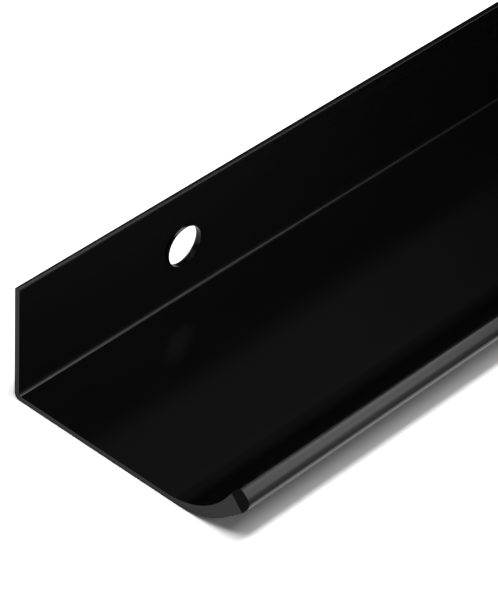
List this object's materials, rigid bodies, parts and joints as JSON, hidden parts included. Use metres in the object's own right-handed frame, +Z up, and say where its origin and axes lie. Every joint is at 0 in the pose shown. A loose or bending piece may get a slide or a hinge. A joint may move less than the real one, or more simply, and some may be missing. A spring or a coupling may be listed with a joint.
{
  "type": "furniture handle",
  "caption": "Satin black aluminium edge pull: an upright screw flange and a thin plate that thickens into an upturned finger lip.",
  "frame": {"origin": "centre of the footprint on the floor, with the part lying on its plate", "axes": "+X along the bar, -Y towards the lip that the fingers pull, +Y out of the screwed back of the flange, +Z up along the flange"},
  "size_m": [0.185, 0.038, 0.0172],
  "materials": {
    "black_anodised": "satin black anodised"
  },
  "bodies": {
    "root": {"handle_profile": "black_anodised"}
  },
  "joints": []
}
